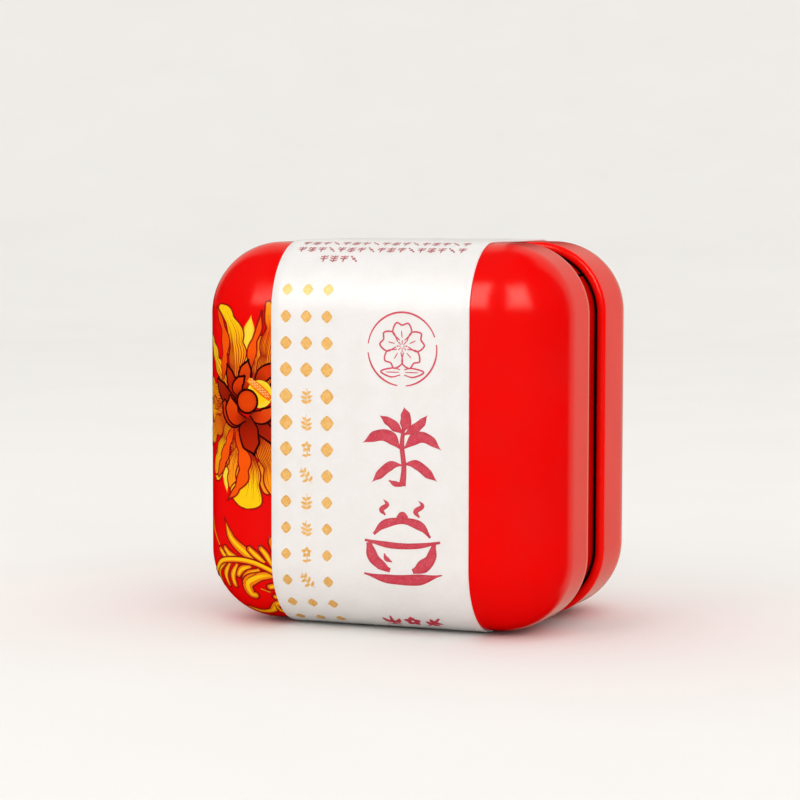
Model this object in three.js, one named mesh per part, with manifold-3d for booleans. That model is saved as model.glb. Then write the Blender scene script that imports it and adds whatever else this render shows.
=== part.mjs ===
// A square, pillow-edged lithographed tin for loose tea, closed, with a card belly band round it.
//
// The tin stands on one side edge. Its lid looks along -Y, its body lies behind, +Z is up.
// The lid and the body are deep-drawn shells with the same pillow edge. A plain collar strip,
// bent to a ring, sits inside the body, stands out of it and plugs into the lid.
// The belly band is a loop of card in the YZ plane, closed by a glued lap behind the body.
//
// Units are millimetres. The origin is below the middle of the closed tin, on the floor.

import * as THREE from 'three';
import { mergeVertices } from 'three/addons/utils/BufferGeometryUtils.js';
import Module from 'manifold-3d';

const wasm = await Module();
wasm.setup();

// ---- driving dimensions ----------------------------------------------------------------

const side = 75; // width and height of the square outline
const depth = 58; // front face of the lid to back face of the body
const cornerRadius = 14.1; // of the square outline, seen from the front
const pillowRadius = 13.7; // rounding from the flat faces to the side walls
const tinplate = 0.3; // sheet thickness of lid and body

const lidDepth = 23.3; // front face to the rim of the lid
const mouth = 32.9; // front face to the mouth of the body
const rimBead = 1.6; // inward curl round the rim of the lid
const mouthBead = 1.8; // inward roll round the mouth of the body

const collarInset = 2.1; // outline of the tin to the outside of the collar
const collarSheet = 0.35;
const collarFront = 7.6; // front edge, just short of the pillow rounding inside the lid
const collarBack = 50.4; // back edge, just short of the pillow rounding inside the body
const collarHem = 0.8; // fold turned inward along both edges of the collar
const seamGap = 0.35; // butt seam where the ends of the collar strip meet
const seamAngle = 40; // degrees up from +X, round the upper right corner

const card = 0.3; // thickness of the belly band
const cardSlack = 0.2; // play between band and tin
const bandWidth = 40.6;
const bandShift = 0.6; // band centre, right of the middle of the tin
const lapLength = 12; // how far the two ends of the band overlap
const lapStep = 0.5; // how far the outer end stands off to pass over the inner end
const glueThickness = 0.1;
const glueWidth = 34;
const glueLength = 9;

// ---- derived places ----------------------------------------------------------------------

const bandStandOff = cardSlack + card; // tin to the outside of the band
const front = -(depth + lapStep) / 2; // Y of the lid's front face
const back = front + depth; // Y of the body's back face
const middle = (front + back) / 2;
const axisHeight = bandStandOff + side / 2; // Z of the axis through the faces

const cornerSteps = 5; // curve divisions: three.js makes twice as many edges per corner
const pillowSteps = 9;
const beadSteps = 3;

// ---- materials ---------------------------------------------------------------------------

const redLacquer = new THREE.MeshStandardMaterial({ color: '#d3100e', roughness: 0.28, metalness: 0.35 });
const innerLacquer = new THREE.MeshStandardMaterial({ color: '#b00d0c', roughness: 0.35, metalness: 0.35 });
const pearlCard = new THREE.MeshStandardMaterial({ color: '#efe7df', roughness: 0.5, metalness: 0.0 });
const dryGlue = new THREE.MeshStandardMaterial({ color: '#e6dcc0', roughness: 0.6, metalness: 0.0 });

// ---- shapes ------------------------------------------------------------------------------

// Rounded rectangle about the origin, as a closed outline or as a hole.
function roundedRect(PathClass, width, height, radius) {
  const x = width / 2 - radius;
  const y = height / 2 - radius;
  const outline = new PathClass();
  outline.absarc(x, y, radius, 0, Math.PI / 2, false);
  outline.absarc(-x, y, radius, Math.PI / 2, Math.PI, false);
  outline.absarc(-x, -y, radius, Math.PI, 1.5 * Math.PI, false);
  outline.absarc(x, -y, radius, 1.5 * Math.PI, 2 * Math.PI, false);
  outline.closePath();
  return outline;
}

// The tin's square outline, moved inward by `inset`.
function tinOutline(PathClass, inset) {
  return roundedRect(PathClass, side - 2 * inset, side - 2 * inset, cornerRadius - inset);
}

// Extrudes an outline drawn in XZ from Y = y0 to Y = y1. `rounding` rolls both end edges over.
function extrudeAlongY(shape, y0, y1, rounding = 0, steps = 1) {
  const geometry = new THREE.ExtrudeGeometry(shape, {
    depth: y1 - y0 - 2 * rounding,
    curveSegments: cornerSteps,
    bevelEnabled: rounding > 0,
    bevelThickness: rounding,
    bevelSize: rounding,
    bevelOffset: -rounding,
    bevelSegments: steps,
  });
  const toXZ = new THREE.Matrix4().makeBasis(
    new THREE.Vector3(1, 0, 0),
    new THREE.Vector3(0, 0, 1),
    new THREE.Vector3(0, -1, 0),
  );
  return geometry.applyMatrix4(toXZ).translate(0, y1 - rounding, axisHeight);
}

// Extrudes an outline drawn in YZ across X, centred on X = x.
function extrudeAlongX(shape, width, x) {
  const geometry = new THREE.ExtrudeGeometry(shape, {
    depth: width,
    curveSegments: cornerSteps,
    bevelEnabled: false,
  });
  const toYZ = new THREE.Matrix4().makeBasis(
    new THREE.Vector3(0, 1, 0),
    new THREE.Vector3(0, 0, 1),
    new THREE.Vector3(1, 0, 0),
  );
  return geometry.applyMatrix4(toYZ).translate(x - width / 2, middle, axisHeight);
}

// ---- solids ------------------------------------------------------------------------------

function solid(geometry) {
  const bare = geometry.clone();
  bare.deleteAttribute('normal');
  bare.deleteAttribute('uv');
  const merged = mergeVertices(bare);
  return new wasm.Manifold(
    new wasm.Mesh({
      numProp: 3,
      vertProperties: merged.attributes.position.array,
      triVerts: Uint32Array.from(merged.index.array),
    }),
  );
}

function toGeometry(manifold) {
  const { vertProperties, triVerts } = manifold.getMesh();
  const geometry = new THREE.BufferGeometry();
  geometry.setAttribute('position', new THREE.BufferAttribute(vertProperties, 3));
  geometry.setIndex(new THREE.BufferAttribute(triVerts, 1));
  geometry.computeVertexNormals();
  return geometry;
}

function addMesh(parent, name, geometry, material) {
  const mesh = new THREE.Mesh(geometry, material);
  mesh.name = name;
  parent.add(mesh);
}

// A solid pillow: the whole tin's outside, moved inward by `inset` on every side.
function pillow(inset) {
  const shape = tinOutline(THREE.Shape, inset);
  return solid(extrudeAlongY(shape, front + inset, back - inset, pillowRadius - inset, pillowSteps));
}

// A block wider than the tin, from Y = y0 to Y = y1.
function slab(y0, y1) {
  const block = new THREE.BoxGeometry(2 * side, y1 - y0, 2 * side);
  return solid(block.translate(0, (y0 + y1) / 2, axisHeight));
}

// A round bead that follows the outline, flush with it outside and `size` wide and deep.
function bead(y0, size) {
  const shape = tinOutline(THREE.Shape, 0);
  shape.holes.push(tinOutline(THREE.Path, size));
  return solid(extrudeAlongY(shape, y0, y0 + size, 0.45 * size, beadSteps));
}

// A straight ring of sheet, from `inset` inward by `thickness`.
function sleeve(y0, y1, inset, thickness) {
  const shape = tinOutline(THREE.Shape, inset);
  shape.holes.push(tinOutline(THREE.Path, inset + thickness));
  return solid(extrudeAlongY(shape, y0, y1));
}

const tinShell = pillow(0).subtract(pillow(tinplate));

// Front half of the pillow, with its rim curled inward.
function lidShell() {
  const rim = front + lidDepth;
  const keepBehind = rim - rimBead / 2;
  return tinShell.subtract(slab(keepBehind, back + 1)).add(bead(rim - rimBead, rimBead));
}

// Back half of the pillow, with its mouth rolled inward to a shoulder.
function bodyShell() {
  const mouthY = front + mouth;
  const keepAfter = mouthY + mouthBead / 2;
  return tinShell.subtract(slab(front - 1, keepAfter)).add(bead(mouthY, mouthBead));
}

// The collar strip, bent to a ring, both edges hemmed inward, its ends meeting in a butt seam.
function neckCollar() {
  const y0 = front + collarFront;
  const y1 = front + collarBack;
  const wall = sleeve(y0, y1, collarInset, collarSheet);
  const hemDepth = collarSheet + collarHem;
  const frontHem = sleeve(y0, y0 + collarHem, collarInset, hemDepth);
  const backHem = sleeve(y1 - collarHem, y1, collarInset, hemDepth);
  const reach = 10;
  const seam = new THREE.BoxGeometry(reach, 2 * depth, seamGap);
  const angle = THREE.MathUtils.degToRad(seamAngle);
  const centre = side / 2 - cornerRadius;
  seam.translate(cornerRadius - collarInset, 0, 0);
  seam.rotateY(-angle);
  seam.translate(centre, middle, axisHeight + centre);
  return wall.add(frontHem).add(backHem).subtract(solid(seam));
}

// The band's section in YZ. It starts at its inner end behind the body, runs down, under,
// up the front and over the top, then steps out and laps over the inner end.
function bandSection() {
  const shape = new THREE.Shape();
  const lapEnd = lapLength / 2;
  const rampTop = lapEnd + 3;
  const rampFoot = lapEnd + 1;
  const outer = bandStandOff;
  const inner = cardSlack;
  const y = depth / 2;
  const z = side / 2;
  const r = pillowRadius;
  const cy = y - r;
  const cz = z - r;
  shape.moveTo(y + outer, lapEnd);
  shape.absarc(cy, -cz, r + outer, 0, -Math.PI / 2, true);
  shape.absarc(-cy, -cz, r + outer, -Math.PI / 2, -Math.PI, true);
  shape.absarc(-cy, cz, r + outer, Math.PI, Math.PI / 2, true);
  shape.absarc(cy, cz, r + outer, Math.PI / 2, 0, true);
  shape.lineTo(y + outer, rampTop);
  shape.lineTo(y + outer + lapStep, rampFoot);
  shape.lineTo(y + outer + lapStep, -lapEnd);
  shape.lineTo(y + inner + lapStep, -lapEnd);
  shape.lineTo(y + inner + lapStep, rampFoot);
  shape.lineTo(y + inner, rampTop);
  shape.absarc(cy, cz, r + inner, 0, Math.PI / 2, false);
  shape.absarc(-cy, cz, r + inner, Math.PI / 2, Math.PI, false);
  shape.absarc(-cy, -cz, r + inner, Math.PI, 1.5 * Math.PI, false);
  shape.absarc(cy, -cz, r + inner, 1.5 * Math.PI, 2 * Math.PI, false);
  shape.lineTo(y + inner, lapEnd);
  shape.closePath();
  return shape;
}

function paperBand() {
  return extrudeAlongX(bandSection(), bandWidth, bandShift);
}

// The glue between the two ends of the band.
function glueStrip() {
  const gap = lapStep - card;
  const y = back + bandStandOff + gap / 2;
  return new THREE.BoxGeometry(glueWidth, glueThickness, glueLength).translate(bandShift, y, axisHeight);
}

// ---- the assembly ------------------------------------------------------------------------

const tin = new THREE.Group();

const lid = new THREE.Group();
addMesh(lid, 'lid_shell', toGeometry(lidShell()), redLacquer);

const body = new THREE.Group();
addMesh(body, 'body_shell', toGeometry(bodyShell()), redLacquer);
addMesh(body, 'neck_collar', toGeometry(neckCollar()), innerLacquer);

const band = new THREE.Group();
addMesh(band, 'paper_band', paperBand(), pearlCard);
addMesh(band, 'band_glue', glueStrip(), dryGlue);

tin.add(lid, body, band);

export default tin;
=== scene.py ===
# %% [markdown]
# # A lithographed tea tin with a card belly band
#
# The real tin is two shells drawn from printed tinplate, a collar strip that joins them,
# and a loop of pearl card round the middle. This lesson builds each of them as a surface
# worked out with numpy, prints the lid and the band with small curved patches of ink and
# foil, and lights the whole on a pale sweep of paper.
#
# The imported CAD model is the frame: it fixes where every piece goes and how big it is.

# %% Load the frame
import math

import bmesh
import bpy
import numpy as np
from mathutils import Matrix, Vector


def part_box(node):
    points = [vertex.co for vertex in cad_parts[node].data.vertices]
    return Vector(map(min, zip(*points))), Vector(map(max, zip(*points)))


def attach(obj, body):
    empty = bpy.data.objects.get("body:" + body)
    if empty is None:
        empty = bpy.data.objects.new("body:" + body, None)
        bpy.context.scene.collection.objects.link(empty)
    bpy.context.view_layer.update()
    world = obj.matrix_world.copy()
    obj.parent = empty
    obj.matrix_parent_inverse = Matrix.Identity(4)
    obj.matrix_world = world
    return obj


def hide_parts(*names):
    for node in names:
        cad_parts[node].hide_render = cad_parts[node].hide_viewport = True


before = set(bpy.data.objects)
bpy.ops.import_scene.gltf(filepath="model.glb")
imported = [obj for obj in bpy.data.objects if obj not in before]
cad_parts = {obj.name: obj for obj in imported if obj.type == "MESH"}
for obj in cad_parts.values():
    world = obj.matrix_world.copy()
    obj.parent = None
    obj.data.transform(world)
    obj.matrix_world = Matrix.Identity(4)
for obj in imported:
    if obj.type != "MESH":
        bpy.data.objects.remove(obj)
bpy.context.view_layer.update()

MM = 0.001

# %% [markdown]
# ## Sizes
#
# Every length is in metres, because that is Blender's unit. The boxes of the CAD nodes give
# the outside sizes. Only the roundings aren't in a box, so they are named here.

# %% Read the sizes
def node_box(name):
    low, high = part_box(name)
    return np.array(low), np.array(high)


lid_low, lid_high = node_box("lid_shell")
body_low, body_high = node_box("body_shell")
collar_low, collar_high = node_box("neck_collar")
band_low, band_high = node_box("paper_band")

HALF = (lid_high[0] - lid_low[0]) / 2
AXIS_Z = (lid_low[2] + lid_high[2]) / 2
FRONT_Y, RIM_Y = lid_low[1], lid_high[1]
MOUTH_Y, BACK_Y = body_low[1], body_high[1]
MIDDLE_Y = (FRONT_Y + BACK_Y) / 2
HALF_DEPTH = (BACK_Y - FRONT_Y) / 2

CORNER = 14.1 * MM      # radius of the square outline, seen from the front
PILLOW = 13.7 * MM      # radius from the flat face over to the side wall
SHEET = 0.3 * MM        # tinplate
CORE = HALF - CORNER    # half the square that the corner arcs are drawn round
FLAT = CORNER - PILLOW  # flat left between the core square and the pillow edge
print("tin %.1f mm square, %.1f mm deep" % (2 * HALF / MM, 2 * HALF_DEPTH / MM))

# %% [markdown]
# ## Colours and nodes
#
# Colours are written as sRGB hex, the way a printer or a web page gives them. Blender
# computes with linear light, so one function turns hex into linear values.
# One more function adds a shader node, sets it up and links it, so that each material
# below reads as a short recipe.

# %% Colour and node helpers
def linear(hex_code):
    """sRGB hex to linear RGBA: the sRGB curve undone channel by channel."""
    srgb = np.array([int(hex_code[i:i + 2], 16) for i in (1, 3, 5)]) / 255
    rgb = np.where(srgb <= 0.04045, srgb / 12.92, ((srgb + 0.055) / 1.055) ** 2.4)
    return (*rgb.tolist(), 1.0)


def add(tree, kind, inputs=None, **settings):
    """Adds a node of that kind, sets its settings, then fills or links its inputs."""
    node = tree.nodes.new("ShaderNode" + kind)
    for name, value in settings.items():
        setattr(node, name, value)
    for name, value in (inputs or {}).items():
        socket = node.inputs[name]
        if isinstance(value, bpy.types.NodeSocket):
            tree.links.new(value, socket)
        else:
            socket.default_value = value
    return node


def blank_material(name):
    """A new material and its node tree, emptied."""
    material = bpy.data.materials.new(name)
    material.use_nodes = True
    material.node_tree.nodes.clear()
    return material, material.node_tree


def new_material(name, **constants):
    """A material with a Principled shader, its constants set on the shader itself."""
    material, tree = blank_material(name)
    shader = add(tree, "BsdfPrincipled", constants)
    add(tree, "OutputMaterial", {"Surface": shader.outputs[0]})
    return material, tree, shader


def mix_colour(tree, factor, a, b, blend="MIX"):
    """Mixes two colours and returns the colour socket."""
    node = add(tree, "Mix", {0: factor, 6: a, 7: b}, data_type="RGBA", blend_type=blend)
    return node.outputs[2]


def spread(tree, value, low, high, to_low, to_high):
    """Maps the range low..high of a value to another range, clamped."""
    node = add(tree, "MapRange", {"Value": value, "From Min": low, "From Max": high,
                                  "To Min": to_low, "To Max": to_high})
    return node.outputs[0]


def mottle(tree, value, low, high, first, second):
    """Runs from one hex colour to another as a value goes from low to high."""
    return mix_colour(tree, spread(tree, value, low, high, 0.0, 1.0), linear(first), linear(second))


def noise(tree, vector, size, detail=2.0, rough=0.5):
    """Noise whose blobs are about `size` metres across."""
    node = add(tree, "TexNoise", {"Vector": vector, "Scale": 1 / size, "Detail": detail,
                                  "Roughness": rough})
    return node.outputs[0]


def object_coords(tree):
    return add(tree, "TexCoord").outputs["Object"]


def bump(tree, height, depth, normal=None):
    """Bump whose height runs over `depth` metres."""
    inputs = {"Height": height, "Distance": depth, "Strength": 1.0}
    if normal is not None:
        inputs["Normal"] = normal
    return add(tree, "Bump", inputs).outputs[0]


def wire(tree, shader, colour, roughness, normal):
    """Links what a recipe worked out to the shader."""
    tree.links.new(colour, shader.inputs["Base Color"])
    tree.links.new(roughness, shader.inputs["Roughness"])
    tree.links.new(normal, shader.inputs["Normal"])


# %% [markdown]
# ## Red litho lacquer
#
# Tinplate is printed flat, as a sheet: a white base, then a solid red, then a clear varnish
# baked on. Then it is drawn to shape. What the eye gets is a deep, even red under a satin
# varnish, with a faint orange peel about 0.6 mm across, slow waves left by the press and
# finger smudges that change the gloss. Along one edge of each shell and of the collar a
# line of painted light is added: a paler line along the lid's rim is a painted highlight
# where the rim catches the light, a brighter red on the body's mouth bead lifts its shade,
# and on the collar a near-black line is painted shade in the crevice beside the body's mouth.

# %% Red lacquer
def varnish(name, gloss):
    """The baked clear coat that red and inks share: gloss, smudges, waves and orange peel."""
    material, tree, shader = new_material(name, **{
        "Metallic": 0.0, "IOR": 1.4, "Specular IOR Level": 0.25, "Specular Tint": linear("#fff0d8"),
        "Coat Weight": 0.1, "Coat Roughness": 0.12, "Coat IOR": 1.4})
    at = object_coords(tree)
    smudge = spread(tree, noise(tree, at, 9 * MM, 5.0, 0.6), 0.3, 0.7, gloss - 0.03, gloss + 0.05)
    surface = bump(tree, noise(tree, at, 11 * MM, 1.0), 0.012 * MM)
    surface = bump(tree, noise(tree, at, 0.6 * MM, 1.5), 0.0007 * MM, surface)
    tree.links.new(smudge, shader.inputs["Roughness"])
    tree.links.new(surface, shader.inputs["Normal"])
    return material, tree, shader


def red_lacquer(name, red, deep, gloss, painted_light_colour, strength, edge_y, edge_mm):
    """Red under varnish, with a line of painted light along one edge: a painted highlight on
    the lid's rim, a brighter red painted on the body's mouth bead, painted shade on the collar.

    `edge_mm` are four distances along Y from the edge: over the first two the red turns
    into the painted light colour, and over the last two it turns back into red.
    """
    material, tree, shader = varnish(name, gloss)
    at = object_coords(tree)
    colour = mottle(tree, noise(tree, at, 18 * MM, 3.0), 0.35, 0.65, red, deep)
    speck = spread(tree, noise(tree, at, 0.35 * MM, 1.0), 0.66, 0.74, 0.0, 0.25)
    colour = mix_colour(tree, speck, colour, linear(deep))
    along = add(tree, "SeparateXYZ", {"Vector": at}).outputs["Y"]
    places = [edge_y + distance * MM for distance in edge_mm]
    # Painted light along the edge: the colour passed in is painted over the red here, as a painted highlight
    # or a painted shade depending on that colour.
    painted_light = spread(tree, along, places[0], places[1], 0.0, strength)
    kept = spread(tree, along, places[2], places[3], 1.0, 0.0)
    painted_light = add(tree, "Math", {0: painted_light, 1: kept}, operation="MULTIPLY").outputs[0]
    colour = mix_colour(tree, painted_light, colour, linear(painted_light_colour))
    tree.links.new(colour, shader.inputs["Base Color"])
    return material


# The last four numbers of each are where the edge line fades in and out, in mm.
# Lid: a pale salmon line along the rim, a painted highlight where the rim's edge catches the light.
lid_red = red_lacquer("baked red litho lacquer on lid", "#ee0000", "#e80000", 0.17,
                      "#ea6e60", 0.85, RIM_Y, (-1.5, -1.15, -0.8, -0.6))
# Body: a brighter red painted on the mouth bead, painted light that lifts the shade there.
body_red = red_lacquer("baked red litho lacquer on body", "#ee0000", "#e80000", 0.17,
                       "#ff0a04", 0.9, MOUTH_Y, (1.1, 0.7, -1.0, -2.0))
# Collar: a near-black line beside the body's mouth, painted shade of the deep crevice there.
collar_red = red_lacquer("red lacquer on collar strip", "#c00000", "#b20000", 0.24,
                         "#160000", 0.95, MOUTH_Y, (-0.25, -0.05, 2.0, 3.0))
print("red lacquers made")

# %% [markdown]
# ## Gold lacquer inside
#
# Food tins are varnished inside with a thin clear gold lacquer, so the steel still shows:
# a metal, warm in colour, with the fine lines of the rolling mill running across the sheet.

# %% Gold lacquer
def gold_lacquer():
    material, tree, shader = new_material("gold lacquer on bare tinplate", Metallic=1.0)
    at = object_coords(tree)
    stretched = add(tree, "Mapping", {"Vector": at, "Scale": (1.0, 0.06, 1.0)}).outputs[0]
    lines = noise(tree, stretched, 0.25 * MM, 2.0)
    colour = mottle(tree, noise(tree, at, 12 * MM), 0.35, 0.65, "#d8c49a", "#cbb384")
    wire(tree, shader, colour, spread(tree, lines, 0.3, 0.7, 0.24, 0.36), bump(tree, lines, 0.001 * MM))
    return material


inside_gold = gold_lacquer()

# %% [markdown]
# ## Building surfaces
#
# A pressed tin is a profile carried round its outline. `core_walk` gives that outline as
# pairs: a point on the core rectangle and the direction outward from it. A distance along
# that direction then reaches the wall, the rim or the inside, whichever the profile asks for.
# `make_mesh` turns any grid of points, with its quads from `grid_faces`, into a mesh with one call, with no
# loop over vertices.

# %% Surface helpers
def core_walk(half_a, half_b, per_corner=28, per_side=24, start=0.0):
    """Walks once round a rectangle, turning a quarter at each corner.

    Point: the corner while turning, or a blend of two corners along a side.
    Direction: (cos t, sin t), with t growing by 90 degrees over each corner only.
    """
    corners = np.array([(half_a, half_b), (-half_a, half_b), (-half_a, -half_b), (half_a, -half_b)])
    points, angles = [], []
    for quarter in range(4):
        first = start if quarter == 0 else 0.0
        turn = np.linspace(first, 90.0, per_corner, endpoint=False) + 90.0 * quarter
        along = np.linspace(0.0, 1.0, per_side, endpoint=False)[:, None]
        here, there = corners[quarter], corners[(quarter + 1) % 4]
        points += [np.tile(here, (per_corner, 1)), here + (there - here) * along]
        angles += [turn, np.full(per_side, 90.0 * (quarter + 1))]
    if start > 0.0:
        points.append(np.tile(corners[0], (per_corner, 1)))
        angles.append(np.linspace(0.0, start, per_corner) + 360.0)
    points, angles = np.vstack(points), np.radians(np.concatenate(angles))
    return points, np.stack([np.cos(angles), np.sin(angles)], axis=1)


def carry(profile_out, profile_y, walk):
    """Carries a profile round a walk in XZ.

    Outward distance above 0: core point + direction x distance.
    Below 0: the core point is scaled towards the axis, so the last ring closes to a point.
    """
    points, directions = walk
    out = profile_out[:, None, None]
    scale = 1.0 + np.minimum(out, 0.0) / CORE
    rings = points[None] * scale + directions[None] * np.maximum(out, 0.0)
    y = np.broadcast_to(profile_y[:, None], rings.shape[:2])
    return np.stack([rings[..., 0], y, rings[..., 1] + AXIS_Z], axis=-1)


def grid_faces(rows, columns, wrap_rows=False, wrap_columns=False):
    """Quads between neighbouring grid points, as indices into the flattened grid."""
    index = np.arange(rows * columns).reshape(rows, columns)
    if wrap_rows:
        index = np.vstack([index, index[:1]])
    if wrap_columns:
        index = np.hstack([index, index[:, :1]])
    quads = np.stack([index[:-1, :-1], index[1:, :-1], index[1:, 1:], index[:-1, 1:]], axis=-1)
    return quads.reshape(-1, 4)


def volume_sign(points, quads):
    """Sign of the volume inside the quads: the sum of corner . (edge x edge) over them."""
    a, b, c, d = (points[quads[:, k]] for k in range(4))
    return np.sign(np.einsum("ij,ij->i", a, np.cross(b - a, c - a) + np.cross(c - a, d - a)).sum())


def make_mesh(name, points, quads, materials, slots=None, extra_faces=()):
    """A mesh object at the origin from flat arrays of points and quads."""
    mesh = bpy.data.meshes.new(name)
    mesh.from_pydata(points.tolist(), [], quads.tolist() + [list(f) for f in extra_faces])
    for material in materials:
        mesh.materials.append(material)
    if slots is not None:
        mesh.polygons.foreach_set("material_index", slots.astype(np.int32))
    mesh.polygons.foreach_set("use_smooth", np.full(len(mesh.polygons), True))
    mesh.update()
    piece = bpy.data.objects.new(name, mesh)
    bpy.context.scene.collection.objects.link(piece)
    return piece


def paint(piece, attribute, rgb):
    """Stores a colour for every point of a piece, under a name of its own."""
    layer = piece.data.color_attributes.new(attribute, "FLOAT_COLOR", "POINT")
    rgba = np.hstack([rgb, np.ones((len(rgb), 1))])
    layer.data.foreach_set("color", rgba.astype(np.float32).ravel())


def weld(piece):
    """Joins points that lie on each other, which closes the poles."""
    work = bmesh.new()
    work.from_mesh(piece.data)
    bmesh.ops.remove_doubles(work, verts=work.verts, dist=1e-7)
    work.to_mesh(piece.data)
    work.free()


def capped_tube(name, points, materials, slots=None):
    """A closed outline carried along a path: quads all round, and a cap at each end."""
    rows, columns = points.shape[:2]
    flat = points.reshape(-1, 3)
    quads = grid_faces(rows, columns, wrap_rows=True)
    index = np.arange(rows * columns).reshape(rows, columns)
    caps = [index[:, 0].tolist(), index[::-1, -1].tolist()]
    if volume_sign(flat, quads) < 0:
        quads, caps = quads[:, ::-1], [cap[::-1] for cap in caps]
    return make_mesh(name, flat, quads, materials, slots, caps)


def arc(centre_out, centre_y, radius, first, last, count):
    """Points on a circle in the profile plane, angles in degrees from outward towards +Y."""
    t = np.radians(np.linspace(first, last, count))
    return np.stack([centre_out + radius * np.cos(t), centre_y + radius * np.sin(t)], axis=1)


# %% [markdown]
# ## The lid and the body
#
# Both shells have the same profile: flat face, pillow edge, straight skirt, then the edge
# of the sheet rolled inward to a bead so that it can't cut a finger. The profile goes out
# along the printed side, round the bead, and back along the gold-lacquered inside.
# It is laid out for a shell that opens towards +Y, and the body is the same thing turned
# to open the other way.

# %% Shell profile
def shell_profile(depth, bead):
    """(outward distance, depth) pairs of a drawn shell, from the outer pole to the inner one."""
    face = np.stack([np.linspace(-CORE, FLAT, 10), np.zeros(10)], axis=1)
    edge = arc(FLAT, PILLOW, PILLOW, -90, 0, 40)[1:]
    radius = bead / 2
    skirt_y = np.linspace(PILLOW, depth - radius, 10)[1:-1]
    skirt = np.stack([np.full(8, CORNER), skirt_y], axis=1)
    roll = arc(CORNER - radius, depth - radius, radius, 0, 250, 30)
    inner_wall = CORNER - SHEET
    inner_y = np.linspace(depth - 2.1 * radius, PILLOW, 8)
    inner_skirt = np.stack([np.full(8, inner_wall), inner_y], axis=1)
    inner_edge = arc(FLAT, PILLOW, PILLOW - SHEET, 0, -90, 24)[1:]
    inner_face = np.stack([np.linspace(FLAT, -CORE, 6)[1:], np.full(5, SHEET)], axis=1)
    outside = np.vstack([face, edge, skirt, roll])
    inside = np.vstack([inner_skirt, inner_edge, inner_face])
    return np.vstack([outside, inside]), len(outside) - 1


def make_shell(name, depth, bead, face_y, direction, printed):
    """A whole shell whose face lies at face_y and whose depth runs along `direction` in Y."""
    profile, last_printed = shell_profile(depth, bead)
    points = carry(profile[:, 0], face_y + direction * profile[:, 1], core_walk(CORE, CORE))
    rows, columns = points.shape[:2]
    flat = points.reshape(-1, 3)
    quads = grid_faces(rows, columns, wrap_columns=True)
    if volume_sign(flat, quads) < 0:
        quads = quads[:, ::-1]
    slots = (np.repeat(np.arange(rows - 1), columns) >= last_printed).astype(int)
    piece = make_mesh(name, flat, quads, [printed, inside_gold], slots)
    weld(piece)
    return piece


LID_BEAD = 1.6 * MM
BODY_BEAD = 1.8 * MM
lid_skin = make_shell("lid_drawn_shell", RIM_Y - FRONT_Y, LID_BEAD, FRONT_Y, 1, lid_red)
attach(lid_skin, "lid")
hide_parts("lid_shell")
body_skin = make_shell("body_drawn_shell", BACK_Y - MOUTH_Y, BODY_BEAD, BACK_Y, -1, body_red)
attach(body_skin, "body")
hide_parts("body_shell")
print("lid", len(lid_skin.data.polygons), "faces; body", len(body_skin.data.polygons), "faces")

# %% [markdown]
# ## The neck collar
#
# A strip of lacquered sheet is bent round until its ends meet in a butt seam. Both long
# edges are folded inward, which stiffens them and hides the cut steel. The section of the
# strip is one closed outline, carried round from one side of the seam to the other.

# %% Neck collar
COLLAR_INSET = HALF - (collar_high[0] - collar_low[0]) / 2
COLLAR_SHEET = 0.35 * MM
COLLAR_HEM = 0.8 * MM
SEAM_ANGLE = 40.0


def collar_section():
    """Closed (outward distance, Y) outline of the strip: a long wall with a hem at each end."""
    samples = 5     # points on each quarter round
    outer = CORNER - COLLAR_INSET
    inner = outer - COLLAR_SHEET
    hem = inner - COLLAR_HEM
    y0, y1, r = collar_low[1], collar_high[1], 0.25 * MM
    edge = COLLAR_HEM
    wall_y = np.linspace(y0 + r, y1 - r, 8)[1:-1]
    parts = [
        arc(outer - r, y0 + r, r, -90, 0, samples),
        np.stack([np.full(6, outer), wall_y], axis=1),
        arc(outer - r, y1 - r, r, 0, 90, samples),
        arc(hem + r, y1 - r, r, 90, 180, samples),
        arc(hem + r, y1 - edge + r, r, 180, 270, samples),
        np.array([(inner, y1 - edge), (inner, y0 + edge)]),
        arc(hem + r, y0 + edge - r, r, 90, 180, samples),
        arc(hem + r, y0 + r, r, 180, 270, samples),
    ]
    return np.vstack(parts)


def make_collar():
    section = collar_section()
    gap = math.degrees(0.35 * MM / (CORNER - COLLAR_INSET)) / 2
    points, directions = core_walk(CORE, CORE, start=SEAM_ANGLE + gap)
    angle = np.unwrap(np.arctan2(directions[:, 1], directions[:, 0]))
    keep = angle <= math.radians(360 + SEAM_ANGLE - gap) + 1e-9
    ring = carry(section[:, 0], section[:, 1], (points[keep], directions[keep]))
    return capped_tube("collar_strip", ring, [collar_red])


collar = make_collar()
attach(collar, "body")
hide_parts("neck_collar")
print("collar", len(collar.data.polygons), "faces, inset %.2f mm" % (COLLAR_INSET / MM))

# %% [markdown]
# ## Pearl card
#
# The belly band is heavy paper coated with mica, which gives a soft pearly sheen: brighter
# where the light grazes it, with a fine sparkle of flakes and the cloudy formation of paper
# under it. Real flakes are about 0.03 mm across. Here they are 0.28 mm, so that they show.
# The cut edges and the inside show the plain white core.

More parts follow.
